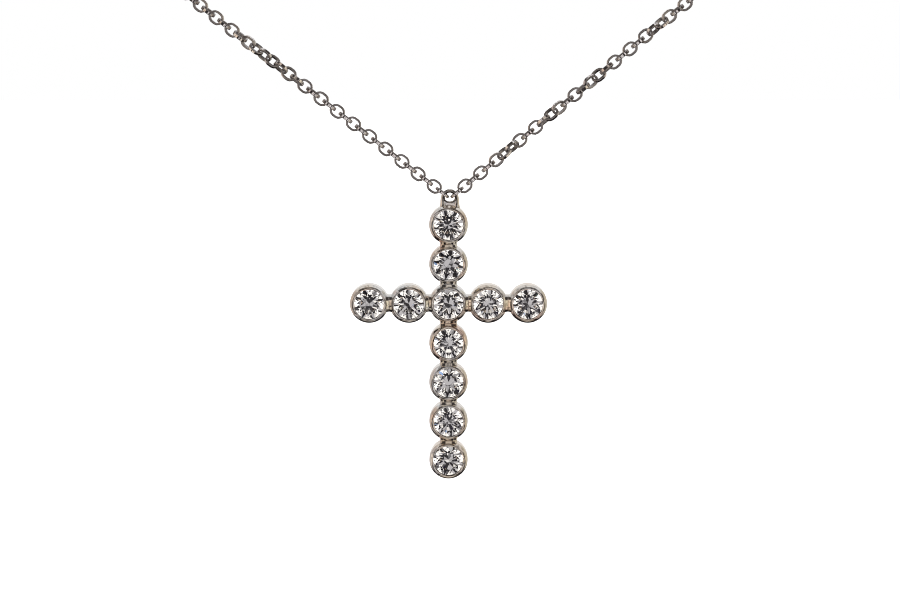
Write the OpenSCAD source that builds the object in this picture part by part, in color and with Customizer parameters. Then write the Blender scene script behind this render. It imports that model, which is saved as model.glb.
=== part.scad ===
// Cross pendant on a fine cable chain, as it hangs round a neck.
// Eleven round stones in bezels make the cross. The origin is at the nape,
// +Z is up, +X is to the viewer's right and the cross faces -Y.

/* [Stones] */
// Diameter of a stone at its girdle
stone_d = 2.5; // [2.2:0.05:2.8]
// Width of the table, as a share of the girdle diameter
table_share = 0.56; // [0.5:0.01:0.64]
// Slope of the crown's main facets in degrees
crown_angle = 34.5; // [30:0.5:38]
// Slope of the pavilion's main facets in degrees
pavilion_angle = 40.8; // [38:0.2:43]
// Height of the girdle's band
girdle_h = 0.08; // [0.04:0.01:0.15]
// How far each stone is turned on from the one before, in degrees
stone_turn = 17; // [0:1:45]

/* [Bezels] */
// Gap left all round a stone in its seat
seat_gap = 0.03; // [0.02:0.005:0.06]
// How far the lip reaches over a stone's edge
lip_reach = 0.1; // [0.06:0.01:0.15]
// Height of the lip above the crown that it holds
lip_t = 0.16; // [0.1:0.01:0.25]
// How far the ledge reaches under a stone's edge
ledge_reach = 0.2; // [0.12:0.01:0.3]
// Thickness of the wall outside the seat, at the collar in front
collar_wall = 0.05; // [0.03:0.01:0.1]
// Thickness of the wall outside the seat, at the back
back_wall = 0.235; // [0.2:0.005:0.35]
// Depth of a bezel from its front rim to its back
bezel_depth = 1.7; // [1.5:0.05:2.2]
// Height of the collar above the sloping shoulder
collar_h = 0.1; // [0.07:0.01:0.15]
// Round of the collar's outer edge
collar_round = 0.045; // [0.03:0.005:0.06]
// Straight cut along the lip's inner edge
lip_cut = 0.045; // [0.03:0.005:0.07]
// How far the shoulder slopes back from the collar's foot to the wall
shoulder_drop = 0.34; // [0.25:0.01:0.5]
// Chamfer of the back edge
back_chamfer = 0.06; // [0.03:0.01:0.12]
// Space between neighbouring bezels at their widest
bezel_gap = 0.07; // [0.03:0.01:0.3]

/* [Cross] */
// Number of bezels down the post
post_count = 7; // [5:1:9]
// Number of bezels above the crossing
above_count = 2; // [1:1:3]
// Number of bezels in each arm
arm_count = 2; // [1:1:3]
// Width of a bridge between two bezels
bridge_w = 1.26; // [0.8:0.02:1.4]
// How far a bridge's front lies behind the bezels' front
bridge_recess = 0.22; // [0.16:0.02:0.6]
// Chamfer along a bridge's edges
bridge_chamfer = 0.15; // [0.05:0.01:0.2]
// How far a bridge lies in from the bezels' backs
bridge_inset = 0.2; // [0.1:0.05:0.4]

/* [Hanging ring] */
// Outside width of the ring
ring_w = 1.48; // [1.4:0.02:1.8]
// Thickness of the ring's wire
ring_wire = 0.36; // [0.3:0.01:0.42]
// Height of the solder bar that the ring stands on
foot_h = 0.24; // [0.15:0.01:0.45]
// Clear height of the ring's opening
ring_opening_h = 0.65; // [0.55:0.01:1]

/* [Loop] */
// Width of the loop at its widest, between the chain's middle lines
loop_w = 117; // [105:1:130]
// Depth of the loop from the nape to the hanging ring
loop_depth = 117.5; // [105:0.5:130]
// How far below the nape the hanging ring lies
loop_drop = 62.5; // [55:0.5:75]

/* [Chain] */
// Outside length of a link
link_l = 1.24; // [1.15:0.01:1.4]
// Outside width of a link
link_w = 0.97; // [0.9:0.01:1.1]
// Thickness of a link's wire
link_wire = 0.23; // [0.18:0.01:0.24]
// Gap between an end link and the ring that it holds
hold_gap = 0.045; // [0.02:0.005:0.06]
// Gap between the chain and the pieces that it joins
chain_gap = 0.05; // [0.02:0.01:0.1]

/* [Clasp] */
// Outside width of the clasp's ring
clasp_d = 5; // [4:0.1:7]
// Thickness of the clasp's ring
clasp_wire = 1; // [0.7:0.05:1.4]
// Outside width of the eye at each side of the clasp
eye_d = 1.6; // [1.3:0.05:2]
// Thickness of an eye's wire
eye_wire = 0.4; // [0.3:0.05:0.5]

/* [Hidden] */
// Where the chain turns: two points a side along the straight front, then the way
// round the neck. The columns are across, forward and down, as shares of half the
// loop's width, of its depth and of its drop.
LEFT_FRONT = [[0.171, 0.997, 0.875], [0.342, 0.987, 0.752]];
RIGHT_FRONT = [[0.171, 0.997, 0.869], [0.342, 0.987, 0.739]];
NECK_SIDE = [[0.547, 0.957, 0.6], [0.752, 0.885, 0.456], [0.915, 0.77, 0.328],
             [1, 0.621, 0.224], [1, 0.46, 0.144], [0.906, 0.306, 0.08],
             [0.735, 0.17, 0.037], [0.496, 0.072, 0.013], [0.239, 0.015, 0.002]];
// Rings of the chain's tube between two points of its route, and its sides
route_steps = 3;
tube_sides = 8;

// Stones
girdle_r = stone_d / 2;
table_r = girdle_r * table_share;
crown_h = (girdle_r - table_r) * tan(crown_angle);
pavilion_h = girdle_r * tan(pavilion_angle);
// The star facets reach half way out, and the pavilion's halves nearly to the culet
star_r = (table_r + girdle_r) / 2;
half_share = 0.22;
half_r = girdle_r * half_share;

// Bezels, measured from the back of the bezel, which is h = 0
seat_r = girdle_r + seat_gap;
lip_r = girdle_r - lip_reach;
ledge_r = girdle_r - ledge_reach;
collar_r = seat_r + collar_wall;
back_r = seat_r + back_wall;
pitch = 2 * back_r + bezel_gap;
lip_rise = lip_reach * tan(crown_angle);
girdle_top = bezel_depth - lip_t - seat_gap - lip_rise;
girdle_low = girdle_top - girdle_h;
ledge_drop = ledge_reach * tan(pavilion_angle);

// The middle of the ring's arch, where the chain's two sides meet
ring_centre = [0, -loop_depth, -loop_drop];
ring_mid_r = (ring_w - ring_wire) / 2;
ring_in_r = ring_w / 2 - ring_wire;
opening_low = ring_opening_h - ring_in_r;
// The ring stands on the top bezel's wall, half way along its depth
arch_z = back_r + foot_h + opening_low;
top_z = ring_centre[2] - arch_z;
crossing_z = top_z - above_count * pitch;
// How far the ring's legs and the bridges' corners run into the bezels' walls
solder_sink = 0.05;
leg_h = arch_z - sqrt(pow(back_r, 2) - pow(ring_w / 2, 2)) + solder_sink;
bridge_depth = bezel_depth - bridge_recess - bridge_inset;
bridge_z = bridge_inset + bridge_depth / 2;
bridge_l = pitch - 2 * sqrt(pow(back_r, 2) - pow(bridge_w / 2, 2)) + 2 * solder_sink;

// Chain
link_bend_r = (link_w - link_wire) / 2;
link_straight = link_l - link_w;
link_start = ring_in_r - hold_gap - link_wire;
tube_start = link_start + link_l + chain_gap;
tube_r = link_w / 2;
// Clasp
clasp_mid_r = (clasp_d - clasp_wire) / 2;
eye_mid_r = (eye_d - eye_wire) / 2;
eye_x = clasp_d / 2 + eye_mid_r;
tube_end = eye_x + eye_d / 2 + chain_gap;

post_names = [for (i = [1:post_count]) str("stone_post_", i)];
left_names = [for (i = [1:arm_count]) str("stone_left_", i)];
right_names = [for (i = [1:arm_count]) str("stone_right_", i)];

metal = [0.72, 0.71, 0.7];
chain_metal = [0.6, 0.58, 0.56];

// Places of the bezels as [x, z]
function post_place(i) = [0, top_z - (i - 1) * pitch];
function arm_place(i, side) = [side * i * pitch, crossing_z];
places = concat([for (i = [1:post_count]) post_place(i)],
                [for (i = [1:arm_count], side = [-1, 1]) arm_place(i, side)]);

// A brilliant cut, as rings of corners from the table down to the culet. The height
// of a corner off a main facet's middle line follows from that facet's own plane.
function on_ring(r, h, step) = [r * cos(22.5 * step), r * sin(22.5 * step), h];
function crown_at(r) = crown_h * (girdle_r - r * cos(22.5)) / (girdle_r - table_r);
function pavilion_at(r) = pavilion_h * (1 - r * cos(22.5) / girdle_r);
stone_corners = concat(
    [for (k = [0:7]) on_ring(table_r, girdle_top + crown_h, 2 * k)],
    [for (k = [0:7]) on_ring(star_r, girdle_top + crown_at(star_r), 2 * k + 1)],
    [for (k = [0:15]) on_ring(girdle_r, girdle_top, k)],
    [for (k = [0:15]) on_ring(girdle_r, girdle_low, k)],
    [for (k = [0:7]) on_ring(half_r, girdle_low - pavilion_at(half_r), 2 * k + 1)],
    [[0, 0, girdle_low - pavilion_h]]);
// The number of a corner, counted round in each ring
function table_no(k) = k % 8;
function star_no(k) = 8 + k % 8;
function upper_no(k) = 16 + k % 16;
function lower_no(k) = 32 + k % 16;
function half_no(k) = 48 + k % 8;
function culet_no() = 56;
stone_facets = concat(
    [[for (k = [7:-1:0]) table_no(k)]],
    [for (k = [0:7]) [table_no(k), table_no(k + 1), star_no(k)]],
    [for (k = [0:7]) [table_no(k), star_no(k), upper_no(2 * k)]],
    [for (k = [0:7]) [table_no(k), upper_no(2 * k), star_no(k + 7)]],
    [for (k = [0:7]) [star_no(k), upper_no(2 * k + 1), upper_no(2 * k)]],
    [for (k = [0:7]) [star_no(k), upper_no(2 * k + 2), upper_no(2 * k + 1)]],
    [for (k = [0:15]) [upper_no(k), upper_no(k + 1), lower_no(k + 1), lower_no(k)]],
    [for (k = [0:7]) [half_no(k), lower_no(2 * k), lower_no(2 * k + 1)]],
    [for (k = [0:7]) [half_no(k), lower_no(2 * k + 1), lower_no(2 * k + 2)]],
    [for (k = [0:7]) [culet_no(), lower_no(2 * k), half_no(k)]],
    [for (k = [0:7]) [culet_no(), half_no(k + 7), lower_no(2 * k)]]);

// Stands a piece made along +Z at a place on the cross, its front towards -Y
module on_cross(place) {
    translate([place[0], ring_centre[1] + bezel_depth / 2, place[1]]) rotate([90, 0, 0]) children();
}

module stone(place, number) {
    color([0.93, 0.95, 1]) on_cross(place) rotate([0, 0, number * stone_turn])
        polyhedron(stone_corners, stone_facets);
}

// Half of a bezel's cut, r then h: up the outside, in over the shoulder, over the collar, past the seat
collar_foot = bezel_depth - collar_h;
function round_edge(r, h, size, from) =
    [for (a = [from:18:from + 90]) [r + size * cos(a), h + size * sin(a)]];
bezel_cut = concat(
    [[back_r - back_chamfer, 0],
    [back_r, back_chamfer],
    [back_r, collar_foot - shoulder_drop - 0.15],
    [back_r - 0.006, collar_foot - shoulder_drop - 0.05],
    [back_r - 0.025, collar_foot - shoulder_drop + 0.03],
    [collar_r + 0.03, collar_foot],
    [collar_r, collar_foot + 0.01]],
    round_edge(collar_r - collar_round, bezel_depth - collar_round, collar_round, 0),
    [[lip_r + lip_cut, bezel_depth],
    [lip_r, bezel_depth - lip_cut],
    [lip_r, bezel_depth - lip_t],
    [seat_r, girdle_top + seat_gap - seat_gap * tan(crown_angle)],
    [seat_r, girdle_low - seat_gap],
    [ledge_r, girdle_low - seat_gap - ledge_drop],
    [ledge_r, 0]]);

module bezel(place) {
    on_cross(place) rotate_extrude($fn = 96) polygon(bezel_cut);
}

// A block along +X between two bezels, its long edges cut off
module bridge(place, turn) {
    half_w = bridge_w / 2;
    half_d = bridge_depth / 2;
    c = bridge_chamfer;
    on_cross(place) rotate([0, 0, turn]) translate([-bridge_l / 2, 0, bridge_z])
        rotate([90, 0, 90]) linear_extrude(bridge_l) polygon([
            [-half_w, c - half_d], [c - half_w, -half_d], [half_w - c, -half_d], [half_w, c - half_d],
            [half_w, half_d - c], [half_w - c, half_d], [c - half_w, half_d], [-half_w, half_d - c]]);
}

// An arch on two legs, with a solder bar between them on the top bezel
module hanging_ring() {
    translate(ring_centre) {
        rotate([90, 0, 0]) rotate_extrude(angle = 180, $fn = 64)
            translate([ring_mid_r, 0]) circle(d = ring_wire, $fn = 32);
        for (side = [-1, 1])
            translate([side * ring_mid_r, 0, -leg_h]) cylinder(h = leg_h, d = ring_wire, $fn = 32);
        translate([-ring_mid_r, -ring_wire / 2, -leg_h])
            cube([2 * ring_mid_r, ring_wire, leg_h - opening_low]);
    }
}

module cross_setting() {
    color(metal) {
        for (place = places) bezel(place);
        for (i = [1:post_count - 1]) bridge(post_place(i + 0.5), 90);
        for (i = [1:arm_count], side = [-1, 1]) bridge(arm_place(i - 0.5, side), 0);
        hanging_ring();
    }
}

// The chain's directions where it leaves the ring
function route_point(share, side) =
    [side * share[0] * loop_w / 2, -share[1] * loop_depth, -share[2] * loop_drop];
left_dir = route_point(LEFT_FRONT[0], -1) - ring_centre;
right_dir = route_point(RIGHT_FRONT[0], 1) - ring_centre;
function unit(v) = v / norm(v);

// An oval link of round wire along +X, standing on edge as seen from the front
module link() {
    color(chain_metal) for (end = [0, 180]) rotate([0, 0, end]) {
        translate([link_straight / 2, 0, 0]) rotate([0, 0, -90])
            rotate_extrude(angle = 180, $fn = 48) translate([link_bend_r, 0]) circle(d = link_wire, $fn = 24);
        translate([-link_straight / 2, link_bend_r, 0]) rotate([0, 90, 0])
            cylinder(h = link_straight, d = link_wire, $fn = 24);
    }
}

module end_link(dir) {
    along = unit(dir);
    flat = norm([along[0], along[1]]);
    translate(ring_centre + along * (link_start + link_l / 2))
        rotate([0, -atan2(along[2], flat), atan2(along[1], along[0])]) link();
}

// A smooth curve through the route's points, each step from a to b
function curve(before, a, b, after, t) =
    a + t * (b - before) / 2
    + t * t * (before - 2.5 * a + 2 * b - after / 2)
    + t * t * t * (1.5 * (a - b) + (after - before) / 2);
function route(front, dir, side) = concat(
    [ring_centre + unit(dir) * tube_start],
    [for (share = concat(front, NECK_SIDE)) route_point(share, side)],
    [[side * tube_end, 0, 0]]);
function along_route(points) = let (last = len(points) - 1) concat(
    [for (i = [0:last - 1], s = [0:route_steps - 1])
        curve(points[max(i - 1, 0)], points[i], points[i + 1], points[min(i + 2, last)], s / route_steps)],
    [points[last]]);

// A tube of flat sides round a line of points
function tube_ring(line, i) = let (
    last = len(line) - 1,
    ahead = unit(line[min(i + 1, last)] - line[max(i - 1, 0)]),
    across = unit(cross(ahead, [0, 0, 1])),
    up = cross(across, ahead))
    [for (k = [0:tube_sides - 1]) let (a = 360 * (k + 0.5) / tube_sides)
        line[i] + tube_r * (cos(a) * across + sin(a) * up)];
module tube(line) {
    n = tube_sides;
    rings = len(line);
    points = [for (i = [0:rings - 1]) each tube_ring(line, i)];
    walls = [for (i = [0:rings - 2], k = [0:n - 1])
        [i * n + k, (i + 1) * n + k, (i + 1) * n + (k + 1) % n, i * n + (k + 1) % n]];
    near = [for (k = [0:n - 1]) k];
    far = [for (k = [n - 1:-1:0]) (rings - 1) * n + k];
    polyhedron(points, concat([near], walls, [far]));
}

module chain(front, dir, side) {
    color(chain_metal) tube(along_route(route(front, dir, side)));
}

module clasp() {
    color(metal) rotate([90, 0, 0]) {
        rotate_extrude($fn = 64) translate([clasp_mid_r, 0]) circle(d = clasp_wire, $fn = 32);
        for (side = [-1, 1]) translate([side * eye_x, 0, 0])
            rotate_extrude($fn = 48) translate([eye_mid_r, 0]) circle(d = eye_wire, $fn = 24);
    }
}

cross_setting();
for (i = [1:post_count])
    stone(post_place(i), i);
for (i = [1:arm_count]) {
    stone(arm_place(i, -1), post_count + i);
    stone(arm_place(i, 1), post_count + arm_count + i);
}
end_link(left_dir);  // left_end_link
end_link(right_dir);  // right_end_link
chain(LEFT_FRONT, left_dir, -1);  // left_chain
chain(RIGHT_FRONT, right_dir, 1);  // right_chain
clasp();
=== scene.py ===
# %% [markdown]
# # A cross of round stones on a fine chain
#
# The real thing is a necklace. Eleven round brilliants sit in eleven tapered bezels of white metal, which
# are soldered into a cross. The cross hangs by a small ring from the last two links of a cable chain.
#
# The sizes and places come from a imported solid model, the frame. It holds what carries and what moves.
# Here the visible surfaces are made round it, in metres and in the same places, and the dressed model has
# to stay inside its box. The first lines load it.

# %% Load the frame
import math

import bpy
import numpy as np
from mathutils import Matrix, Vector


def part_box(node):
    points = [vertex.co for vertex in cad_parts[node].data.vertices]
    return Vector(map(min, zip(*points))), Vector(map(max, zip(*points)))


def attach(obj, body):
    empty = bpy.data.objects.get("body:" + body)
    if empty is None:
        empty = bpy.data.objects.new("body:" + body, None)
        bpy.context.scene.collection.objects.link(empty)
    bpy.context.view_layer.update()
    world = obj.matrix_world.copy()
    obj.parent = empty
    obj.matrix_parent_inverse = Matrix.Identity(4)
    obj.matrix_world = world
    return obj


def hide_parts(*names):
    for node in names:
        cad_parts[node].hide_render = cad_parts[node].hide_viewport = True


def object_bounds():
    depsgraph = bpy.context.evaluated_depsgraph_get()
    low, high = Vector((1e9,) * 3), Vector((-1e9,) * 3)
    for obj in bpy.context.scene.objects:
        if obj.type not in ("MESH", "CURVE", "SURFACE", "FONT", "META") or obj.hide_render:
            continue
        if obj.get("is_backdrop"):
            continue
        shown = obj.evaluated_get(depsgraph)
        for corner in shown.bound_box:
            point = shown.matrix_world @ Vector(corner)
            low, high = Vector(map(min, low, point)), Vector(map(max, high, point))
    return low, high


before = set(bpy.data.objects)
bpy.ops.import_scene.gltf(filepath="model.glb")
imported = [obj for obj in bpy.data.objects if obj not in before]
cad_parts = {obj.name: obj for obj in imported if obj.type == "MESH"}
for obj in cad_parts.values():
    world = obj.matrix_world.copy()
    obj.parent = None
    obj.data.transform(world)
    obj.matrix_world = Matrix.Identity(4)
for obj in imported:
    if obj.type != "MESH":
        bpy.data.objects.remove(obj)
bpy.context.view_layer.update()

MM = 0.001

# %% [markdown]
# ## Where the pieces are
#
# A goldsmith's drawing starts from the centres of the stones. They could be typed in again here, but then
# a change in the model would leave them behind. So each centre is read from the box round its stone, and
# the bezels' spacing and width follow from them.

# %% Centres of the stones and sizes of the bezels


def middle(node):
    """Middle of the box round a node, in millimetres."""
    low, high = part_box(node)
    return (np.array(low) + np.array(high)) / 2 / MM


STONES = sorted(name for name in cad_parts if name.startswith("stone_"))
stone_at = {name: middle(name) for name in STONES}
setting_low, setting_high = (np.array(corner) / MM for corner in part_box("cross_setting"))
front_y, back_y = setting_low[1], setting_high[1]
pitch = stone_at["stone_post_1"][2] - stone_at["stone_post_2"][2]
back_r = setting_high[0] - stone_at["stone_right_2"][0]
bezel_depth = back_y - front_y
print(f"{len(STONES)} stones, {pitch:.2f} mm apart, in bezels {2 * back_r:.2f} mm wide at the back")

# %% [markdown]
# ## Camera
#
# The camera looks a little down on the cross from straight in front. Its distance is known from how the
# outer walls show more and more above the rims from the top stone to the bottom one. The lens then
# follows: it has to draw the front of the crossing stone's rim at the right scale. Instead of shifting
# the picture, the camera is turned a fraction of a degree, until that rim falls on its pixel.

# %% Camera
PICTURE_W = 900
PICTURE_H = 600
PIXELS_PER_MM = 12.83
CROSSING_PIXEL = (448.5, 304.5)
CAMERA_DISTANCE = 171.0
CAMERA_RISE = math.radians(7.2)

scene = bpy.context.scene
crossing = stone_at["stone_post_3"]
pixels_to_lens = PIXELS_PER_MM * CAMERA_DISTANCE
aim_right = math.atan((PICTURE_W / 2 - CROSSING_PIXEL[0]) / pixels_to_lens)
aim_up = math.atan((CROSSING_PIXEL[1] - PICTURE_H / 2) / pixels_to_lens)

camera = bpy.data.objects.new("camera", bpy.data.cameras.new("camera"))
camera.data.lens = camera.data.sensor_width * pixels_to_lens / PICTURE_W
camera.data.clip_start = 10 * MM
camera.data.clip_end = 10.0
camera.location = Vector((
    crossing[0],
    front_y - CAMERA_DISTANCE * math.cos(CAMERA_RISE),
    crossing[2] + CAMERA_DISTANCE * math.sin(CAMERA_RISE),
)) * MM
camera.rotation_euler = (math.pi / 2 - CAMERA_RISE + aim_up, 0, -aim_right)
scene.collection.objects.link(camera)
scene.camera = camera
print(f"camera {CAMERA_DISTANCE:.0f} mm away with a {camera.data.lens:.1f} mm lens")

# %% [markdown]
# ## Studio
#
# Polished metal and cut stones have hardly a colour of their own: what one sees is the room in them. So
# the room is designed like a jewellery photographer's table. White paper is all that the camera sees
# behind the piece. The metal sees more: a white sheet overhead and behind, pale cards at the sides, a
# bright opening round the lens inside a dark ring, and a dark table below. That could be built from
# planes, but planes this close to a small object are hard to place. Painting them on the sky is easier:
# each card is a soft round patch at an azimuth and elevation, laid over the ones before it.
#
# A brilliant gathers light from a far wider cone than a flat of metal does, so the stones get a room of
# their own: white walls, a grey front, and in it a dark disc with the lens. Dark clutter stands about in
# both, a noise with a hard threshold. And light that has bounced long inside a stone comes out weaker,
# so the stones' room is dimmed for late bounces. This is what makes their blacks deep.

# %% The room that the metal and stones mirror
NODE_STEP = 220


def towards(azimuth, elevation):
    """The direction at that azimuth and elevation in degrees: azimuth 0 faces the camera, 90 is right."""
    a, e = math.radians(azimuth), math.radians(elevation)
    return Vector((math.sin(a) * math.cos(e), -math.cos(a) * math.cos(e), math.sin(e)))


def add_node(tree, kind, **values):
    """A new node of a tree. Values are its settings, or its inputs where a name is one of these."""
    node = tree.nodes.new(kind)
    node.location = (NODE_STEP * len(tree.nodes), 0)
    for name, value in values.items():
        socket = name.replace("_", " ")
        if socket in node.inputs:
            node.inputs[socket].default_value = value
        else:
            setattr(node, name, value)
    return node


# Each card: azimuth, elevation, angle inside which it is full, angle outside which it is gone, colour
METAL_CARDS = [
    (180, 40, 34, 54, (0.80, 0.79, 0.78)),
    (180, 8, 16, 28, (0.86, 0.84, 0.82)),
    (-135, 0, 20, 34, (0.62, 0.54, 0.50)),
    (135, 0, 20, 34, (0.62, 0.58, 0.50)),
    (-92, -2, 18, 30, (0.90, 0.78, 0.66)),
    (92, -2, 18, 30, (0.84, 0.77, 0.65)),
    (-56, 2, 16, 24, (1.0, 0.82, 0.66)),
    (56, -4, 16, 24, (0.95, 0.86, 0.68)),
    (-62, -36, 10, 17, (1.0, 0.88, 0.72)),
    (62, -36, 10, 17, (1.0, 0.90, 0.76)),
    (0, 50, 15, 23, (0.62, 0.55, 0.48)),
    (0, -7, 29, 35, (0.03, 0.026, 0.025)),
    (0, -7, 13, 18, (0.80, 0.755, 0.745)),
    (0, 84, 6, 12, (1.1, 1.1, 1.12)),
    (-33, 20, 8, 12, (0.88, 0.82, 0.80)),
    (33, 20, 8, 12, (0.88, 0.82, 0.80)),
    (-33, -32, 8, 12, (0.85, 0.80, 0.79)),
    (33, -32, 8, 12, (0.85, 0.80, 0.79)),
    (0, -46, 10, 15, (0.8, 0.74, 0.66)),
    (0, -70, 8, 16, (0.55, 0.45, 0.37)),
]
STONE_CARDS = [
    (180, 0, 60, 80, (0.9, 0.89, 0.9)),
    (0, 7, 37, 41, (0.52, 0.50, 0.505)),
    (0, -38, 8, 12, (0.02, 0.017, 0.03)),
    (0, 7, 21, 24, (0.010, 0.009, 0.012)),
    (0, 7, 5, 7, (0.36, 0.34, 0.35)),
    (-24, 18, 1.5, 3.0, (0.35, 0.50, 0.80)),
    (25, -6, 1.5, 3.0, (0.80, 0.68, 0.55)),
    (12, 30, 1.5, 3.0, (0.5, 0.70, 0.60)),
]
CLUTTER_SCALE = 8.0
CLUTTER_FROM = 0.49
CLUTTER_FULL = 0.565
CLUTTER_RISE = 7
LATE_BOUNCES = 5
LATE_SHARE = 0.25

world = bpy.data.worlds.new("studio")
scene.world = world
world.use_nodes = True
sky = world.node_tree
sky.nodes.clear()
direction = add_node(sky, "ShaderNodeTexCoord").outputs["Generated"]
height = add_node(sky, "ShaderNodeSeparateXYZ")
sky.links.new(direction, height.inputs[0])
from_floor = add_node(sky, "ShaderNodeMapRange")
from_floor.inputs["From Min"].default_value = -1
sky.links.new(height.outputs["Z"], from_floor.inputs["Value"])


def patch(azimuth, elevation, full, gone):
    """How much of a soft round patch of the room there is in each direction, from 0 to 1."""
    across = add_node(sky, "ShaderNodeVectorMath", operation="DOT_PRODUCT")
    across.inputs[1].default_value = towards(azimuth, elevation)
    sky.links.new(direction, across.inputs[0])
    edge = add_node(sky, "ShaderNodeMapRange", interpolation_type="SMOOTHSTEP")
    edge.inputs["From Min"].default_value = math.cos(math.radians(gone))
    edge.inputs["From Max"].default_value = math.cos(math.radians(full))
    sky.links.new(across.outputs["Value"], edge.inputs["Value"])
    return edge.outputs["Result"]


def painted_room(low, high, cards, clutter, reach):
    """
    A background that goes from one colour below to another above, with cards laid over it, and over them
    dark clutter of that strength in front, out to that angle from the camera.
    """
    walls = add_node(sky, "ShaderNodeValToRGB")
    walls.color_ramp.elements[0].position = 0.35
    walls.color_ramp.elements[0].color = (*low, 1)
    walls.color_ramp.elements[1].position = 0.65
    walls.color_ramp.elements[1].color = (*high, 1)
    sky.links.new(from_floor.outputs["Result"], walls.inputs["Fac"])
    shown = walls.outputs["Color"]
    for azimuth, elevation, full, gone, colour in cards:
        over = add_node(sky, "ShaderNodeMix", data_type="RGBA")
        over.inputs["B"].default_value = (*colour, 1)
        sky.links.new(patch(azimuth, elevation, full, gone), over.inputs["Factor"])
        sky.links.new(shown, over.inputs["A"])
        shown = over.outputs["Result"]
    things = add_node(sky, "ShaderNodeTexNoise", Scale=CLUTTER_SCALE, Detail=1.0)
    sky.links.new(direction, things.inputs["Vector"])
    outlines = add_node(sky, "ShaderNodeMapRange", interpolation_type="SMOOTHSTEP")
    outlines.inputs["From Min"].default_value = CLUTTER_FROM
    outlines.inputs["From Max"].default_value = CLUTTER_FULL
    outlines.inputs["To Max"].default_value = clutter
    sky.links.new(things.outputs["Fac"], outlines.inputs["Value"])
    here = add_node(sky, "ShaderNodeMath", operation="MULTIPLY")
    sky.links.new(outlines.outputs["Result"], here.inputs[0])
    sky.links.new(patch(0, CLUTTER_RISE, 0.75 * reach, reach), here.inputs[1])
    cluttered = add_node(sky, "ShaderNodeMix", data_type="RGBA")
    cluttered.inputs["B"].default_value = (0.02, 0.018, 0.02, 1)
    sky.links.new(here.outputs["Value"], cluttered.inputs["Factor"])
    sky.links.new(shown, cluttered.inputs["A"])
    shown = cluttered.outputs["Result"]
    room = add_node(sky, "ShaderNodeBackground")
    sky.links.new(shown, room.inputs["Color"])
    return room


ray = add_node(sky, "ShaderNodeLightPath")
metal_room = painted_room((0.012, 0.010, 0.010), (0.06, 0.052, 0.048), METAL_CARDS, 0.62, 150)
stone_room = painted_room((1.20, 1.14, 1.06), (1.35, 1.30, 1.23), STONE_CARDS, 0.97, 43)
late = add_node(sky, "ShaderNodeMath", operation="GREATER_THAN")
late.inputs[1].default_value = LATE_BOUNCES
sky.links.new(ray.outputs["Ray Depth"], late.inputs[0])
fading = add_node(sky, "ShaderNodeMapRange")
fading.inputs["To Min"].default_value = 1
fading.inputs["To Max"].default_value = LATE_SHARE
sky.links.new(late.outputs["Value"], fading.inputs["Value"])
sky.links.new(fading.outputs["Result"], stone_room.inputs["Strength"])
paper = add_node(sky, "ShaderNodeBackground", Color=(1, 1, 1, 1))
through_stone = add_node(sky, "ShaderNodeMixShader")
sky.links.new(ray.outputs["Is Transmission Ray"], through_stone.inputs["Fac"])
sky.links.new(metal_room.outputs[0], through_stone.inputs[1])
sky.links.new(stone_room.outputs[0], through_stone.inputs[2])
seen = add_node(sky, "ShaderNodeMixShader")
sky.links.new(ray.outputs["Is Camera Ray"], seen.inputs["Fac"])
sky.links.new(through_stone.outputs[0], seen.inputs[1])
sky.links.new(paper.outputs[0], seen.inputs[2])
sky.links.new(seen.outputs[0], add_node(sky, "ShaderNodeOutputWorld").inputs["Surface"])
scene.view_settings.view_transform = "Standard"
scene.cycles.max_bounces = 24
scene.cycles.transmission_bounces = 24
scene.cycles.glossy_bounces = 8
scene.cycles.filter_width = 1.0
print(len(METAL_CARDS), "cards for the metal,", len(STONE_CARDS), "for the stones")

# %% [markdown]
# ## Floor and lamp
#
# The piece hangs over a white table that is lit until it can't be told from the paper behind it. The
# table is a plane with a white matt finish and a little light of its own. Mirrored in the metal it would
# wash out the dark lower edges, so rays from polished surfaces pass it by. A broad lamp above gives the
# soft light that a window gives.

# %% Floor and lamp
FLOOR_Z = -125.0
FLOOR_HALF = 2000.0
LAMP_HEIGHT = 420.0
LAMP_SIZE = 300.0
LAMP_ENERGY = 0.25
LAMP_WAY = towards(-25, 62)


def new_piece(name, points, faces):
    """An object from points in millimetres and faces as lists of corner numbers; it sits at the origin."""
    mesh = bpy.data.meshes.new(name)
    mesh.from_pydata((np.asarray(points, float) * MM).tolist(), [], [list(map(int, f)) for f in faces])
    mesh.validate()
    piece = bpy.data.objects.new(name, mesh)
    scene.collection.objects.link(piece)
    return piece


corners = np.array([(-1, -1, 0), (1, -1, 0), (1, 1, 0), (-1, 1, 0)]) * FLOOR_HALF + (0, 0, FLOOR_Z)
floor = new_piece("floor", corners, [(0, 1, 2, 3)])
white_table = bpy.data.materials.new("white_table")
white_table.use_nodes = True
table_skin = white_table.node_tree.nodes["Principled BSDF"]
table_skin.inputs["Base Color"].default_value = (0.9, 0.9, 0.9, 1)
table_skin.inputs["Roughness"].default_value = 1
table_skin.inputs["Emission Color"].default_value = (1, 1, 1, 1)
table_skin.inputs["Emission Strength"].default_value = 1.0
floor.data.materials.append(white_table)
floor.visible_glossy = False
floor.visible_transmission = False
floor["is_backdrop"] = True

lamp = bpy.data.objects.new("lamp", bpy.data.lights.new("lamp", "AREA"))
lamp.data.shape = "DISK"
lamp.data.size = LAMP_SIZE * MM
lamp.data.energy = LAMP_ENERGY
lamp.location = (Vector(crossing) + LAMP_WAY * LAMP_HEIGHT) * MM
lamp.rotation_euler = LAMP_WAY.to_track_quat("Z", "Y").to_euler()
lamp.visible_glossy = False
scene.collection.objects.link(lamp)
print("floor at", FLOOR_Z, "mm, lamp", LAMP_HEIGHT, "mm above the cross")
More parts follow.
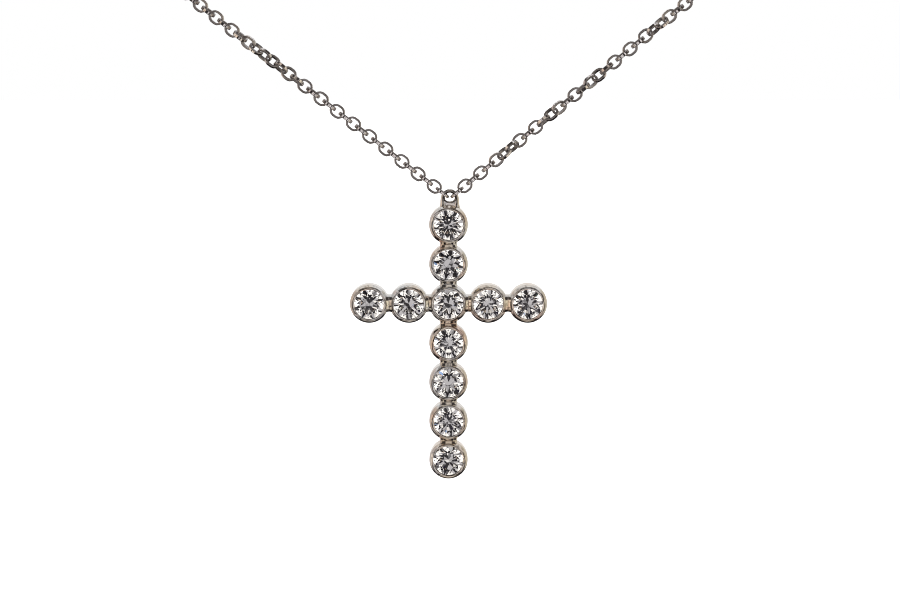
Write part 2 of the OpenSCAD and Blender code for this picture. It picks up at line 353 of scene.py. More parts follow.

# %% [markdown]
# ## White metal
#
# The setting is polished by hand on a felt wheel. It isn't a perfect mirror: it has a slight orange-peel
# wave from the wheel and hair scratches, and its colour drifts in warm and rosy spots that are painted
# reflections of things near it. A perfect mirror material would look like a computer's. So three noises at
# three scales change it: a coarse one paints those reflections into the colour, a middle one bends the
# reflection, and a fine one breaks up the gloss.
#
# A dull film stays on the chain where the cloth doesn't reach, and the setting is painted dark with shade
# deep in its necks and inside the ring. Noise can't know where these are. So each piece says it itself, by
# an attribute of film and painted shade that runs from 0 to 1, and the material only reads it.

# %% Metal finishes


def polished(name, pale, warm, rosy, drift_size, wave, wave_depth, smooth, worn, film_and_shade, film_and_shade_rough):
    """
    Polished metal whose colour drifts from pale over warm to rosy in spots of that size in millimetres, as
    painted reflections of warm things nearby, whose surface waves by wave_depth over lengths of wave, and
    whose roughness runs from smooth to worn.
    Where the piece's own attribute of film and painted shade is 1, it takes the film colour and roughness
    given here instead, which on the setting is painted shade.
    """
    material = bpy.data.materials.new(name)
    material.use_nodes = True
    tree = material.node_tree
    skin = tree.nodes["Principled BSDF"]
    skin.inputs["Metallic"].default_value = 1
    place = add_node(tree, "ShaderNodeTexCoord").outputs["Object"]

    # The coarse noise paints warm and rosy reflections of nearby things into the base colour
    drift = add_node(tree, "ShaderNodeTexNoise", Scale=1 / (drift_size * MM), Detail=2.0)
    painted_reflection_tint = add_node(tree, "ShaderNodeValToRGB")
    painted_reflection_tint.color_ramp.elements[0].position = 0.35
    painted_reflection_tint.color_ramp.elements[0].color = (*pale, 1)
    painted_reflection_tint.color_ramp.elements[1].position = 0.66
    painted_reflection_tint.color_ramp.elements[1].color = (*rosy, 1)
    painted_reflection_tint.color_ramp.elements.new(0.55).color = (*warm, 1)
    tree.links.new(place, drift.inputs["Vector"])
    tree.links.new(drift.outputs["Fac"], painted_reflection_tint.inputs["Fac"])

    rub = add_node(tree, "ShaderNodeTexNoise", Scale=1 / (0.3 * drift_size * MM), Detail=4.0)
    gloss = add_node(tree, "ShaderNodeMapRange")
    gloss.inputs["From Min"].default_value = 0.3
    gloss.inputs["From Max"].default_value = 0.7
    gloss.inputs["To Min"].default_value = smooth
    gloss.inputs["To Max"].default_value = worn
    tree.links.new(place, rub.inputs["Vector"])
    tree.links.new(rub.outputs["Fac"], gloss.inputs["Value"])

    # Where the film attribute is high the colour becomes the film colour: painted shade on the setting, a
    # dull film on the chain
    film_and_shade_fac = add_node(tree, "ShaderNodeAttribute", attribute_name="film_and_shade").outputs["Fac"]
    colour = add_node(tree, "ShaderNodeMix", data_type="RGBA")
    colour.inputs["B"].default_value = (*film_and_shade, 1)
    tree.links.new(film_and_shade_fac, colour.inputs["Factor"])
    tree.links.new(painted_reflection_tint.outputs["Color"], colour.inputs["A"])
    tree.links.new(colour.outputs["Result"], skin.inputs["Base Color"])
    dull = add_node(tree, "ShaderNodeMix", data_type="FLOAT")
    dull.inputs["B"].default_value = film_and_shade_rough
    tree.links.new(film_and_shade_fac, dull.inputs["Factor"])
    tree.links.new(gloss.outputs["Result"], dull.inputs["A"])
    tree.links.new(dull.outputs["Result"], skin.inputs["Roughness"])

    peel = add_node(tree, "ShaderNodeTexNoise", Scale=1 / (wave * MM), Detail=1.0)
    bump = add_node(tree, "ShaderNodeBump", Distance=wave_depth * MM, Strength=1.0)
    tree.links.new(place, peel.inputs["Vector"])
    tree.links.new(peel.outputs["Fac"], bump.inputs["Height"])
    tree.links.new(bump.outputs["Normal"], skin.inputs["Normal"])
    return material


# The setting's film colour is painted shade, dark in its necks and inside the ring
setting_metal = polished("setting_metal", (0.81, 0.81, 0.81), (0.80, 0.72, 0.63), (0.76, 0.60, 0.52),
                         drift_size=2.2, wave=0.9, wave_depth=0.07, smooth=0.03, worn=0.10,
                         film_and_shade=(0.12, 0.10, 0.09), film_and_shade_rough=0.22)
chain_metal = polished("chain_metal", (0.99, 0.97, 0.97), (0.95, 0.91, 0.90), (0.92, 0.84, 0.83),
                       drift_size=1.6, wave=0.25, wave_depth=0.006, smooth=0.04, worn=0.12,
                       film_and_shade=(0.58, 0.56, 0.565), film_and_shade_rough=0.42)
clasp_metal = polished("clasp_metal", (0.78, 0.77, 0.75), (0.74, 0.70, 0.66), (0.70, 0.62, 0.56),
                       drift_size=2.5, wave=0.7, wave_depth=0.03, smooth=0.10, worn=0.25,
                       film_and_shade=(0.26, 0.22, 0.19), film_and_shade_rough=0.4)
print("three metal finishes")

# %% [markdown]
# ## Bezels
#
# A bezel is a short tube, turned from thick wall. The stone drops onto a ledge inside. The top of the
# wall is filed down to a thin collar over a sloping shoulder, pushed over the stone's edge as a lip, and
# cut bright along its inner edge. A cylinder with a bevel would miss all of these. A lathe shape
# doesn't: the cut through the wall is drawn once as radius and height, and swept round.
#
# Small straight flats are better here than tight rounds. A flat mirrors one place of the room and reads
# as a crisp line, while a round squeezes the whole room into a pixel and reads as grey.

# %% The cut through a bezel's wall
STONE_R = 1.25
SEAT_GAP = 0.03
LIP_REACH = 0.1
LIP_T = 0.16
LEDGE_REACH = 0.2
COLLAR_R = 1.33
COLLAR_H = 0.1
COLLAR_ROUND = 0.025
CREST_R = 1.25
CREST_LEAN = math.radians(13)
BRIGHT_CUT = 0.045
CHAMFER_R = 1.49
CHAMFER_DROP = 0.34
BACK_ROUND = 0.06
CROWN_SLOPE = math.tan(math.radians(34.5))
PAVILION_SLOPE = math.tan(math.radians(40.8))
GIRDLE_H = 0.08

seat_r = STONE_R + SEAT_GAP
lip_r = STONE_R - LIP_REACH
ledge_r = STONE_R - LEDGE_REACH
girdle_top = bezel_depth - LIP_T - SEAT_GAP - LIP_REACH * CROWN_SLOPE
girdle_low = girdle_top - GIRDLE_H


def arc(r, h, size, start, end, steps=7):
    """Part of a circle of that size round (r, h), anticlockwise from one angle to another in degrees."""
    a = np.radians(np.linspace(start, end, steps))
    return np.column_stack([r + size * np.cos(a), h + size * np.sin(a)])


def bezel_cut():
    """
    The wall's outline as rows of radius and height above the back: up the outside, in over a sloping
    shoulder, up a low collar with a rounded corner, over its crest, which leans outwards in its outer
    half, down a straight bright cut, then down the seat, the ledge and the bore.
    """
    back = arc(back_r - BACK_ROUND, BACK_ROUND, BACK_ROUND, -90, 0)
    foot_h = bezel_depth - COLLAR_H
    shoulder = np.array([
        (back_r, foot_h - CHAMFER_DROP - 0.15),
        (back_r - 0.006, foot_h - CHAMFER_DROP - 0.05),
        (CHAMFER_R, foot_h - CHAMFER_DROP + 0.03),
        (COLLAR_R + 0.03, foot_h),
        (COLLAR_R, foot_h + 0.01),
    ])
    wall = np.linspace(back[-1], shoulder[0], 6)[1:-1]
    fall = (COLLAR_R - COLLAR_ROUND - CREST_R) * math.tan(CREST_LEAN)
    corner_h = bezel_depth - COLLAR_ROUND - fall
    corner = arc(COLLAR_R - COLLAR_ROUND, corner_h, COLLAR_ROUND, 0, 90 - math.degrees(CREST_LEAN), 4)
    cut_r = lip_r + BRIGHT_CUT
    crest = np.array([
        (CREST_R + 0.01, bezel_depth - 0.01 * math.tan(CREST_LEAN)),
        (CREST_R - 0.01, bezel_depth),
        (cut_r, bezel_depth),
    ])
    seat = [
        (lip_r, bezel_depth - BRIGHT_CUT),
        (lip_r, bezel_depth - LIP_T),
        (seat_r, girdle_top + SEAT_GAP - SEAT_GAP * CROWN_SLOPE),
        (seat_r, girdle_low - SEAT_GAP),
        (ledge_r, girdle_low - SEAT_GAP - LEDGE_REACH * PAVILION_SLOPE),
    ]
    bore = np.linspace(seat[-1], (ledge_r, 0), 5)[1:]
    return np.vstack([back, wall, shoulder, corner, crest, seat, bore])


cut = bezel_cut()
print(f"bezel cut of {len(cut)} points, lip {lip_r:.2f} mm and collar {COLLAR_R:.2f} mm in radius")

# %% [markdown]
# ## From a cut to a mesh
#
# A surface of two parameters is a grid of points, and its faces are the same for every such grid: each
# joins four neighbours. The helper below gives them for any grid, open or closed either way round, so
# that a bezel, a bridge, the ring and a chain link all share it.

# %% Faces of a grid, and places on the cross


def grid_faces(rows, columns, round_rows=False, round_columns=False):
    """Corner numbers of the quads of a grid numbered row by row; a round direction closes on itself."""
    i = np.arange(rows if round_rows else rows - 1)[:, None]
    j = np.arange(columns if round_columns else columns - 1)[None, :]
    near, far = i * columns, (i + 1) % rows * columns
    right = (j + 1) % columns
    corners = np.broadcast_arrays(near + j, near + right, far + right, far + j)
    return np.stack(corners, axis=-1).reshape(-1, 4)


def on_cross(local, centre):
    """Points given as right, up and height above the bezels' backs, moved to a centre on the cross."""
    return np.stack([
        centre[0] + local[..., 0],
        back_y - local[..., 2],
        centre[2] + local[..., 1],
    ], axis=-1)


# %% [markdown]
# ## No two bezels alike
#
# A lip is pushed over by hand, a little at a time, so no collar is quite round or quite level. Eleven
# perfect copies would give the model away. Each bezel gets waves of its own: its collar wavers by about
# two hundredths of a millimetre, rises and falls, and leans to and fro. The seat stays true.

# %% Eleven bezels
BEZEL_COLUMNS = 112
WAVER = 0.018
RIM_RISE = 0.03
RIM_TWIST = 0.24
random = np.random.default_rng(11)


def waver(angle):
    """A closed, slow, uneven wave: a sum of cosines of 2 to 6 turns with random shares and starts."""
    turns = np.arange(2, 7)[:, None]
    share = random.uniform(0.3, 1.0, turns.shape) / turns
    start = random.uniform(0, 2 * np.pi, turns.shape)
    return (share * np.cos(turns * angle + start)).sum(0)


def bezel(centre):
    """
    The cut swept round: right = r cos a, up = r sin a. Collar points move out or in by a wave of a, and
    rise or fall by a second wave and by a third one times their distance from the collar's middle, which
    leans the collar. The share is 1 at the collar and falls to 0 at the lip and at the outer wall.
    """
    a = np.linspace(0, 2 * np.pi, BEZEL_COLUMNS, endpoint=False)
    r, h = cut[:, 0, None], cut[:, 1, None]
    outside = np.clip((r - lip_r) / (COLLAR_R - lip_r), 0, 1) * (h > girdle_top + SEAT_GAP)
    inside = np.clip((back_r - r) / 0.1, 0, 1)
    outside = outside * inside
    h = h + (RIM_RISE * waver(a) + RIM_TWIST * waver(a) * (r - (lip_r + COLLAR_R) / 2)) * outside
    r = r + WAVER * waver(a) * outside
    local = np.stack([r * np.cos(a), r * np.sin(a), h + 0 * a], axis=-1)
    return on_cross(local, centre).reshape(-1, 3)


bezel_faces = grid_faces(len(cut), BEZEL_COLUMNS, round_rows=True, round_columns=True)
bezels = [bezel(stone_at[name]) for name in STONES]
print(len(bezels), "bezels of", len(bezel_faces), "faces each")

# %% [markdown]
# ## Bridges
#
# Between two bezels sits a short bar. Solder has run into its corners, so its front climbs both walls in
# a slant, and a fine seam is left across its middle. A box pushed into the walls would show a flat
# mirror with hard corners. The bar here is a tube of rounded square section, squarer at the back. Its
# ends follow the round walls that they meet, it widens towards them, and its front rises from the seam.

# %% Ten bridges
BRIDGE_W = 1.32
BRIDGE_DEPTH = 1.36
BRIDGE_INSET = 0.12
FOOT_FLARE = 0.10
FILLET_RISE = 0.09
SEAM_DEPTH = 0.08
SEAM_HALF = 0.14
SOLDER_SINK = 0.05
BRIDGE_COLUMNS = 48

middle_r = (COLLAR_R + back_r) / 2


def rounded_square(angle, power):
    """A curve between a circle and a square: each coordinate is its cosine or sine to a power under 1."""
    c, s = np.cos(angle), np.sin(angle)
    return np.sign(c) * np.abs(c) ** power, np.sign(s) * np.abs(s) ** power


def capped_faces(rows, columns):
    """Faces of a tube of that many rings, with a flat cap at each end."""
    tube = grid_faces(rows, columns, round_columns=True).tolist()
    near = list(range(columns))[::-1]
    far = list(range((rows - 1) * columns, rows * columns))
    return tube + [near, far]


half_along = np.array([0, 0.7, 1, 1.4, 2, 3, 4.5, 6, 1 / SEAM_HALF]) * SEAM_HALF
along_share = np.concatenate([-half_along[:0:-1], half_along])[:, None]


def bridge(centre, upright):
    """
    A bar along one axis of the cross: ring s from end to end, point v round it. The distance along is s
    times half the gap between the round walls there. The width grows by the flare times s squared and
    the front by the rise times the size of s, less the seam's depth where s is small.
    """
    s = along_share
    v = np.linspace(0, 2 * np.pi, BRIDGE_COLUMNS, endpoint=False)[None, :]
    side, lift = rounded_square(v, np.where(np.sin(v) < 0, 0.35, 0.62))
    across = side * (BRIDGE_W / 2 + FOOT_FLARE * s**2)
    along = s * (pitch / 2 - np.sqrt(middle_r**2 - across**2) + SOLDER_SINK)
    rise = FILLET_RISE * np.abs(s) - SEAM_DEPTH * (np.abs(s) < 0.9 * SEAM_HALF)
    deep = BRIDGE_INSET + BRIDGE_DEPTH / 2 * (1 + lift) + rise * np.clip(lift, 0, 1)
    sides = (-across, along) if upright else (along, across)
    return on_cross(np.stack([*sides, deep], axis=-1), centre).reshape(-1, 3)


posts = sorted(n for n in STONES if n.startswith("stone_post"))
arms = ["stone_left_2", "stone_left_1", "stone_post_3", "stone_right_1", "stone_right_2"]
bridges = [bridge((stone_at[a] + stone_at[b]) / 2, True) for a, b in zip(posts, posts[1:])]
bridges += [bridge((stone_at[a] + stone_at[b]) / 2, False) for a, b in zip(arms, arms[1:])]
bridge_faces = capped_faces(len(along_share), BRIDGE_COLUMNS)
print(len(bridges), "bridges,", round(pitch - 2 * COLLAR_R, 2), "mm of each showing between two collars")

# %% [markdown]
# ## Hanging ring
#
# The ring is an arch of round wire on two legs, soldered upright on the top bezel, and a bar of solder
# fills the foot of the arch. A whole torus sunk into the bezel would look alike from in front, but its
# hole would sit too low. So the wire is a circle carried along a path of two straight legs and half an
# oval. It thins towards the top, where the links have worn it and the ring rocks on them, and thickens
# at the feet, where solder clings. The bar's top is hollow, so that the opening stays round. The ring
# was soldered on by eye, and sits a tenth of a millimetre right of the cross's middle line.

# %% Ring and its solder bar
RING_W = 1.48
RING_SHIFT = 0.1
RING_WIRE = 0.40
RING_TOP_WIRE = 0.30
RING_OPENING_H = 0.66
FOOT_SPREAD = 0.09
THIN_FROM = -0.25
THIN_OVER = 0.45
BAR_HOLLOW = 0.04
WIRE_COLUMNS = 24

ring_centre = np.array([RING_SHIFT, (front_y + back_y) / 2, setting_high[2] - RING_W / 2])
ring_mid_r = (RING_W - RING_WIRE) / 2
opening_low = RING_OPENING_H - (RING_W / 2 - RING_TOP_WIRE)
top_bezel_z = stone_at["stone_post_1"][2]
leg_h = ring_centre[2] - top_bezel_z - math.sqrt(middle_r**2 - (RING_W / 2) ** 2) + SOLDER_SINK


def arch_path():
    """
    Rows of right, up, and the path's direction as right, up: up one leg, over the half turn, down the
    other.
    """
    low = np.linspace(-leg_h, 0, 10)[:-1]
    up = np.column_stack([0 * low - ring_mid_r, low, 0 * low, 0 * low + 1])
    a = np.linspace(np.pi, 0, 28)
    top_r = (RING_W - RING_TOP_WIRE) / 2
    over = np.column_stack([ring_mid_r * np.cos(a), top_r * np.sin(a), np.sin(a), -np.cos(a)])
    down = up[::-1] * (-1, 1, 1, -1)
    return np.vstack([up, over, down])


def ring_wire():
    """A circle round each point of the path, square to it, thick at the feet and thin at the top."""
    path = arch_path()
    v = np.linspace(0, 2 * np.pi, WIRE_COLUMNS, endpoint=False)[None, :]
    low = np.clip((-path[:, 1:2] - opening_low) / (leg_h - opening_low), 0, 1)
    high = np.clip((path[:, 1:2] - THIN_FROM) / THIN_OVER, 0, 1)
    thin = high**2 * (3 - 2 * high)
    r = RING_WIRE / 2 + FOOT_SPREAD * low**2 - (RING_WIRE - RING_TOP_WIRE) / 2 * thin
    right = path[:, 0:1] + r * np.cos(v) * -path[:, 3:4]
    up = path[:, 1:2] + r * np.cos(v) * path[:, 2:3]
    return ring_centre + np.stack([right, r * np.sin(v), up], axis=-1)


def solder_bar():
    """Between the legs: a block of rounded section whose top is hollow, rising where it meets a leg."""
    u = np.linspace(-1, 1, 17)[:, None]
    v = np.linspace(0, 2 * np.pi, WIRE_COLUMNS, endpoint=False)[None, :]
    side, lift = rounded_square(v, 0.5)
    hollow_r = RING_W / 2 - RING_WIRE + BAR_HOLLOW
    top = -opening_low * np.sqrt(np.clip(1 - (ring_mid_r * u / hollow_r) ** 2, 0, 1))
    low = -leg_h
    half = (top - low) / 2
    deep = (0.92 * RING_WIRE / 2 + 0.05 * np.clip(-lift, 0, 1)) * side
    right = ring_mid_r * u + 0 * v
    up = (top + low) / 2 + half * lift
    return ring_centre + np.stack([right, deep + 0 * u, up], axis=-1)


ring = ring_wire()
bar = solder_bar()
ring_faces = capped_faces(*ring.shape[:2])
bar_faces = capped_faces(*bar.shape[:2])
print(f"ring {RING_W} mm wide on legs {leg_h:.2f} mm high")

# %% [markdown]
# ## Soldered into one
#
# On the bench the cross becomes one piece of metal. Here the shells are only pushed into each other, and
# their hidden walls would stay inside the mesh. A boolean union takes them out, as solder does. Each union
# is one modifier, applied at once. Sharp edges are then marked by angle, so that the rounds shade smoothly
# and the corners stay crisp. Last, every point of the joined mesh gets a share of painted shade: dark deep
# in the necks between two bezels, and inside the ring.

# %% One setting
SHARP = math.radians(40)
# How far and how deep the painted shade reaches in the necks and inside the ring
NECK_REACH = 0.75
NECK_DEPTH = 0.5
NECK_BLEND = 0.25
NECK_PAINTED_SHADE = 0.7
INNER_REACH = 0.12
INNER_BLEND = 0.14
ARCH_BLEND = 0.3


def union(body, other):
    """Adds another closed piece to a body and removes it from the scene."""
    join = body.modifiers.new("union", "BOOLEAN")
    join.operation = "UNION"
    join.solver = "MANIFOLD"
    join.object = other
    seen = body.evaluated_get(bpy.context.evaluated_depsgraph_get())
    mesh = bpy.data.meshes.new_from_object(seen)
    body.modifiers.clear()
    body.data = mesh
    bpy.data.objects.remove(other)


necks = [(stone_at[a] + stone_at[b]) / 2 for row in (posts, arms) for a, b in zip(row, row[1:])]


def painted_shade_share(points):
    """
    How much painted shade a point gets, from 0 to 1: near the middle of a neck it grows with the depth
    behind the rims, and in the ring it grows from the middle of the wire inwards.
    """
    apart = points[:, None, [0, 2]] - np.array(necks)[None, :, [0, 2]]
    near = np.exp(-((apart**2).sum(-1).min(1)) / NECK_REACH**2)
    behind = NECK_PAINTED_SHADE * np.clip((points[:, 1] - front_y - NECK_DEPTH) / NECK_BLEND, 0, 1)
    from_ring = np.hypot(points[:, 0] - ring_centre[0], points[:, 2] - ring_centre[2])
    inner = np.clip((ring_mid_r + INNER_REACH - from_ring) / INNER_BLEND, 0, 1)
    inner = inner * np.clip((points[:, 2] - ring_centre[2] + ARCH_BLEND) / ARCH_BLEND, 0, 1)
    return np.maximum(near * behind, inner).astype(np.float32)


setting = new_piece("setting", bezels[0], bezel_faces)
parts = [(points, bezel_faces) for points in bezels[1:]] + [(points, bridge_faces) for points in bridges]
parts += [(ring.reshape(-1, 3), ring_faces), (bar.reshape(-1, 3), bar_faces)]
for points, faces in parts:
    union(setting, new_piece("joined", points, faces))
setting.data.shade_smooth()
setting.data.set_sharp_from_angle(angle=SHARP)
setting.data.materials.clear()
setting.data.materials.append(setting_metal)
# The setting's film attribute holds the painted shade
places = np.empty(3 * len(setting.data.vertices), np.float32)
setting.data.vertices.foreach_get("co", places)
shade = painted_shade_share(places.reshape(-1, 3) / MM)
setting.data.attributes.new("film_and_shade", "FLOAT", "POINT").data.foreach_set("value", shade)
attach(setting, "cross")
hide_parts("cross_setting")
print("setting of", len(setting.data.polygons), "faces")

# %% [markdown]
# ## Stones
#
# A round brilliant has a table, eight stars, eight kites and sixteen upper halves above the girdle, and
# sixteen lower halves and eight mains below it. Their light comes from total reflection inside, so the
# facets must be flat and meet exactly, and a smooth-shaded cone would never sparkle. Each ring of
# corners is a formula. No two stones are cut or set quite alike: each has its own table width and main
# angle within the cutter's tolerance, its own turn, and a tilt of about a degree at most in its seat.

# %% Facets of a brilliant


def ring_of(count, r, h, offset=0.0):
    """That many corners evenly round a circle of radius r at height h, turned by a share of a step."""
    a = 2 * np.pi * (np.arange(count) + offset) / count
    return np.column_stack([r * np.cos(a), r * np.sin(a), 0 * a + h])


def brilliant(table_share, crown_slope, pavilion_slope, half_share):
    """
    Corners from the table down to the culet. A corner beside a main facet's middle line lies in that
    facet's plane, so its height follows from its distance along that line.
    """
    table_r = STONE_R * table_share
    star_r = (table_r + STONE_R) / 2
    half_r = STONE_R * half_share
    crown_h = (STONE_R - table_r) * crown_slope
    inward = math.cos(math.pi / 8)
    star_h = crown_h * (STONE_R - star_r * inward) / (STONE_R - table_r)
    half_h = pavilion_slope * (STONE_R - half_r * inward)
    return np.vstack([
        ring_of(8, table_r, girdle_top + crown_h),
        ring_of(8, star_r, girdle_top + star_h, 0.5),
        ring_of(16, STONE_R, girdle_top),
        ring_of(16, STONE_R, girdle_low),
        ring_of(8, half_r, girdle_low - half_h, 0.5),
        [[0, 0, girdle_low - pavilion_slope * STONE_R]],
    ])


def facets():
    """Corner numbers of every facet, all facing outwards: table, crown, girdle, then pavilion."""
    k, n = np.arange(8), np.arange(16)
    table, star, upper, lower, half, culet = 0, 8, 16, 32, 48, 56
    after, before, two = (k + 1) % 8, (k + 7) % 8, (2 * k + 2) % 16
    groups = [
        (table + k, star + k, table + after),
        (table + k, star + before, upper + 2 * k, star + k),
        (star + k, upper + 2 * k, upper + 2 * k + 1),
        (star + k, upper + 2 * k + 1, upper + two),
        (upper + n, lower + n, lower + (n + 1) % 16, upper + (n + 1) % 16),
        (half + k, lower + 2 * k + 1, lower + 2 * k),
        (half + k, lower + two, lower + 2 * k + 1),
        (culet + 0 * k, half + k, lower + 2 * k, half + before),
    ]
    return [list(range(8))] + [list(f) for group in groups for f in np.column_stack(group)]


print(len(facets()), "faces with the girdle's sixteen")

# %% [markdown]
# ## What a stone is made of
#
# Diamond bends light more than any common stone: its index is 2.42. A glass shader with that index does
# the rest by itself, as long as light may bounce often enough. The gloss of the outer skin is toned
# down, because it would lie over the facets like a veil and lift their blacks. A faint grey haze in a
# few small clouds keeps the stone from looking like clean water.

# %% Stone material
stone_clear = bpy.data.materials.new("stone_clear")
stone_clear.use_nodes = True
clear_tree = stone_clear.node_tree
clear_skin = clear_tree.nodes["Principled BSDF"]
clear_skin.inputs["Transmission Weight"].default_value = 1
clear_skin.inputs["IOR"].default_value = 2.42
clear_skin.inputs["Roughness"].default_value = 0
clear_skin.inputs["Specular Tint"].default_value = (0.08, 0.08, 0.09, 1)
clouds = add_node(clear_tree, "ShaderNodeTexNoise", Scale=1 / (1.1 * MM), Detail=1.0)
haze = add_node(clear_tree, "ShaderNodeValToRGB")
haze.color_ramp.elements[0].color = (0.955, 0.95, 0.965, 1)
haze.color_ramp.elements[1].color = (1.0, 0.995, 0.985, 1)
clear_place = add_node(clear_tree, "ShaderNodeTexCoord").outputs["Object"]
clear_tree.links.new(clear_place, clouds.inputs["Vector"])
clear_tree.links.new(clouds.outputs["Fac"], haze.inputs["Fac"])
clear_tree.links.new(haze.outputs["Color"], clear_skin.inputs["Base Color"])

# %% Eleven stones
STONE_TURN = 17.0
TILT_LIMIT = 1.2
# A stone's table share, crown angle, pavilion angle and half share lie between these
CUT_LEAST = (0.54, 33.0, 41.8, 0.16)
CUT_MOST = (0.60, 35.0, 42.3, 0.32)
cutting = np.random.default_rng(5)


def turned(points, turn, tilt, tilt_way):
    """Points turned about the stone's own axis, then leant by a small tilt about a line at its girdle."""
    c, s = math.cos(turn), math.sin(turn)
    spun = points @ np.array([[c, s, 0], [-s, c, 0], [0, 0, 1]])
    lean = tilt * (spun[:, 0] * math.cos(tilt_way) + spun[:, 1] * math.sin(tilt_way))
    slide = tilt * (spun[:, 2] - girdle_low)
    return spun + np.column_stack([
        slide * math.cos(tilt_way),
        slide * math.sin(tilt_way),
        -lean,
    ])


order = posts + ["stone_left_1", "stone_left_2", "stone_right_1", "stone_right_2"]
for number, name in enumerate(order, start=1):
    table, crown, pavilion, half = cutting.uniform(CUT_LEAST, CUT_MOST)
    cut_stone = brilliant(table, math.tan(math.radians(crown)), math.tan(math.radians(pavilion)), half)
    tilt = math.radians(cutting.uniform(0.1, TILT_LIMIT))
    turn = math.radians(number * STONE_TURN)
    local = turned(cut_stone, turn, tilt, cutting.uniform(0, 2 * math.pi))
    gem = new_piece("gem" + name[5:], on_cross(local, stone_at[name]), facets())
    gem.data.materials.append(stone_clear)
    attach(gem, "cross")
    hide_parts(name)
print(len(order), "stones set")

# %% [markdown]
# ## The line of the chain
#
# Two straight runs rise from the ring, and the rest lies round the neck to the clasp. The frame holds
# each side as a plain tube. Its line is worked out again here from the same few points, by a curve that
# passes through all of them, because the links have to follow it one by one.

# %% Route of the chain
LOOP_W = 117.0
LOOP_DEPTH = 117.5
LOOP_DROP = 62.5
# Columns: across, forward and down, as shares of half the loop's width, of its depth and of its drop
FRONT = {
    -1: [(0.171, 0.997, 0.875), (0.342, 0.987, 0.752)],
    1: [(0.171, 0.997, 0.869), (0.342, 0.987, 0.739)],
}
NECK_SIDE = [
    (0.547, 0.957, 0.6), (0.752, 0.885, 0.456), (0.915, 0.77, 0.328),
    (1, 0.621, 0.224), (1, 0.46, 0.144), (0.906, 0.306, 0.08),
    (0.735, 0.17, 0.037), (0.496, 0.072, 0.013), (0.239, 0.015, 0.002),
]
LINK_L = 1.27
LINK_W = 1.04
LINK_T = 0.175
LINK_BAND = 0.28
# The link in the ring is narrower than the others, so that the ring has room to rock in it
RING_LINK_BAND = 0.22
HOLD_GAP = 0.06
LAST_LINK_X = 3.87
FINE_STEPS = 60


def route(side):
    """Points along one side of the chain, from the ring's middle to the clasp's eye, close together."""
    shares = np.array(FRONT[side] + NECK_SIDE)
    knots = shares * (side * LOOP_W / 2, -LOOP_DEPTH, -LOOP_DROP)
    knots = np.vstack([ring_centre, knots, (side * LAST_LINK_X, 0, 0)])
    padded = np.vstack([knots[:1], knots, knots[-1:]])
    before, a, b, after = (padded[i:len(padded) - 3 + i][:, None] for i in range(4))
    t = np.linspace(0, 1, FINE_STEPS, endpoint=False)[None, :, None]
    curve = (a + t * (b - before) / 2 + t**2 * (before - 2.5 * a + 2 * b - after / 2)
             + t**3 * (1.5 * (a - b) + (after - before) / 2))
    return np.vstack([curve.reshape(-1, 3), knots[-1:]])


for side in (-1, 1):
    length = np.linalg.norm(np.diff(route(side), axis=0), axis=1).sum()
    print("chain side", side, "is", round(float(length), 1), "mm long")

# %% [markdown]
# ## Links
#
# A cable chain is one oval link, repeated with a quarter turn each time, so that each passes through its
# neighbours. Its wire isn't round: it was rolled flat, so a link is a thin line seen face on and a broad
# band seen edge on. Only the long outer flats rub on cloth and stay bright, and the rest keeps its film.
# A texture or a rope-like tube would lose the holes. But there are over five hundred links, so one has
# few faces: a section of six corners round an oval of fourteen uneven steps, short at the flats.
#
# All the links of a side are one array: the points of one link times one turning matrix a link. Near the
# cross the links lie flat and on edge in turn. Further up they roll to and fro, as a hanging chain does.

# %% One link
# Where the oval has its corners, as angles in degrees round half of it
HALF_OVAL = np.array([0, 30, 58, 84, 96, 122, 150])
# The wire's corners, anticlockwise: outwards as a share of half its thickness, sideways of half its width
SECTION = np.array([(1, -0.7), (1, 0.7), (0.5, 1), (-1, 0.87), (-1, -0.87), (0.5, -1)])


def link_points():
    """
    Rows round the oval, columns round the wire. The oval is two half circles pulled apart by a straight:
    x = R cos a plus or minus half the straight, y = R sin a. The section's corners move R in or out and
    rise along z.
    """
    bend = (LINK_W - LINK_T) / 2
    half_straight = (LINK_L - LINK_W) / 2
    a = np.radians(np.concatenate([HALF_OVAL, HALF_OVAL + 180]))[:, None]
    out = bend + SECTION[None, :, 0] * LINK_T / 2
    x = out * np.cos(a) + half_straight * np.sign(np.cos(a))
    z = SECTION[None, :, 1] * LINK_BAND / 2 + 0 * a
    return np.stack([x, out * np.sin(a), z], axis=-1).reshape(-1, 3)


one_link = link_points()
link_faces = grid_faces(2 * len(HALF_OVAL), len(SECTION), round_rows=True, round_columns=True)[:, ::-1]
link_film = np.ones((2 * len(HALF_OVAL), len(SECTION)))
# Column 0 is the outer band, and rows 3 and 10 are the middles of the long flats
link_film[:, 0] = 0.4
link_film[[2, 4, 9, 11], 0] = 0.1
link_film[[3, 10], 0] = 0
print("a link has", len(link_faces), "faces")

# %% Both sides of the chain
LINK_PITCH = 0.792
ROLL_JITTER = 2.0
# Columns: distance from the ring in millimetres, and how far the links are rolled there in degrees
ROLL = {
    -1: [(0, 0), (13.5, 0), (17.8, 45), (21.5, 90), (30, 90), (60, 130), (120, 200), (200, 270)],
    1: [(0, 0), (4.3, 0), (7.5, 90), (8.7, 90), (11.9, 0), (13.1, 0), (16.3, 90), (19.1, 90), (22.3, 0),
        (26, 0), (60, 60), (120, 150), (200, 270)],
}
hanging = np.random.default_rng(21)


def unit(v):
    """Vectors shortened to a length of one."""
    return v / np.linalg.norm(v, axis=-1, keepdims=True)


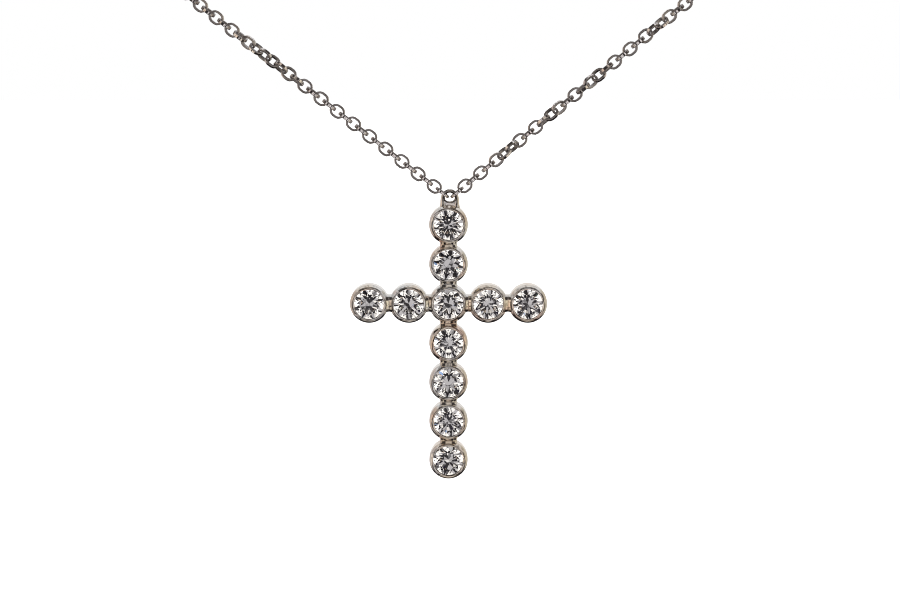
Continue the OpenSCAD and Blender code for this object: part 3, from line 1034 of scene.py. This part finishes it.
def chain_side(side):
    """
    Every link of a side, the one in the ring first, as an array of their points and the number of links.
    Links stand at even distances along the route. A link's first axis is the chain's direction there, and
    its second turns about that axis, a quarter more on every link.
    """
    line = route(side)
    gone = np.concatenate([[0], np.cumsum(np.linalg.norm(np.diff(line, axis=0), axis=1))])
    first = RING_W / 2 - RING_WIRE - HOLD_GAP - LINK_T + LINK_L / 2
    count = math.ceil((gone[-1] - first) / LINK_PITCH) + 1
    at = np.linspace(first, gone[-1], count)

    def on_line(distance):
        return np.stack([np.interp(distance, gone, line[:, i]) for i in range(3)], axis=-1)

    ahead = unit(on_line(at + LINK_L / 4) - on_line(at - LINK_L / 4))
    level = unit(np.cross(ahead, (0, 0, 1)))
    steep = np.cross(level, ahead)
    where, rolled = np.array(ROLL[side], float).T
    jitter = hanging.uniform(-ROLL_JITTER, ROLL_JITTER, count)
    jitter[[0, -1]] = 0
    roll = np.interp(at, where, rolled) + 90 * (np.arange(1, count + 1) % 2) + jitter
    roll = np.radians(roll)[:, None]
    flat = np.cos(roll) * steep + np.sin(roll) * level
    axes = np.stack([ahead, flat, np.cross(ahead, flat)], axis=1)
    shapes = np.repeat(one_link[None], count, axis=0)
    shapes[0, :, 2] *= RING_LINK_BAND / LINK_BAND
    return on_line(at)[:, None] + shapes @ axes


def chain_piece(name, points, node):
    """One piece made of those links, standing for that node."""
    faces = link_faces[None] + np.arange(len(points))[:, None, None] * len(one_link)
    links = new_piece(name, points.reshape(-1, 3), faces.reshape(-1, 4))
    links.data.shade_smooth()
    links.data.set_sharp_from_angle(angle=SHARP)
    film_and_shade = links.data.attributes.new("film_and_shade", "FLOAT", "FACE")
    film_and_shade.data.foreach_set("value", np.tile(link_film.ravel(), len(points)))
    links.data.materials.append(chain_metal)
    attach(links, "necklace")
    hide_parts(node)


for side, name in ((-1, "left"), (1, "right")):
    points = chain_side(side)
    chain_piece(name + "_ring_link", points[:1], name + "_end_link")
    chain_piece(name + "_links", points[1:], name + "_chain")
    print(name, "side has", len(points), "links,", 2 * len(link_faces) * len(points), "triangles")

# %% [markdown]
# ## Clasp
#
# The clasp at the nape is plain turned and bent wire. The frame already has its exact round shape, so it
# only gets its finish.

# %% Clasp
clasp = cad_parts["clasp"]
clasp.data.materials.clear()
clasp.data.materials.append(clasp_metal)
print("clasp finished")

# %% [markdown]
# ## Check the size and finish
#
# The dressed model must not outgrow the frame, so its box is printed.

# %% Box of the dressed model
visual_low, visual_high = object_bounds()
for name, corner in (("low", visual_low), ("high", visual_high)):
    print("dressed box,", name, "corner:", [round(v / MM, 2) for v in corner], "mm")
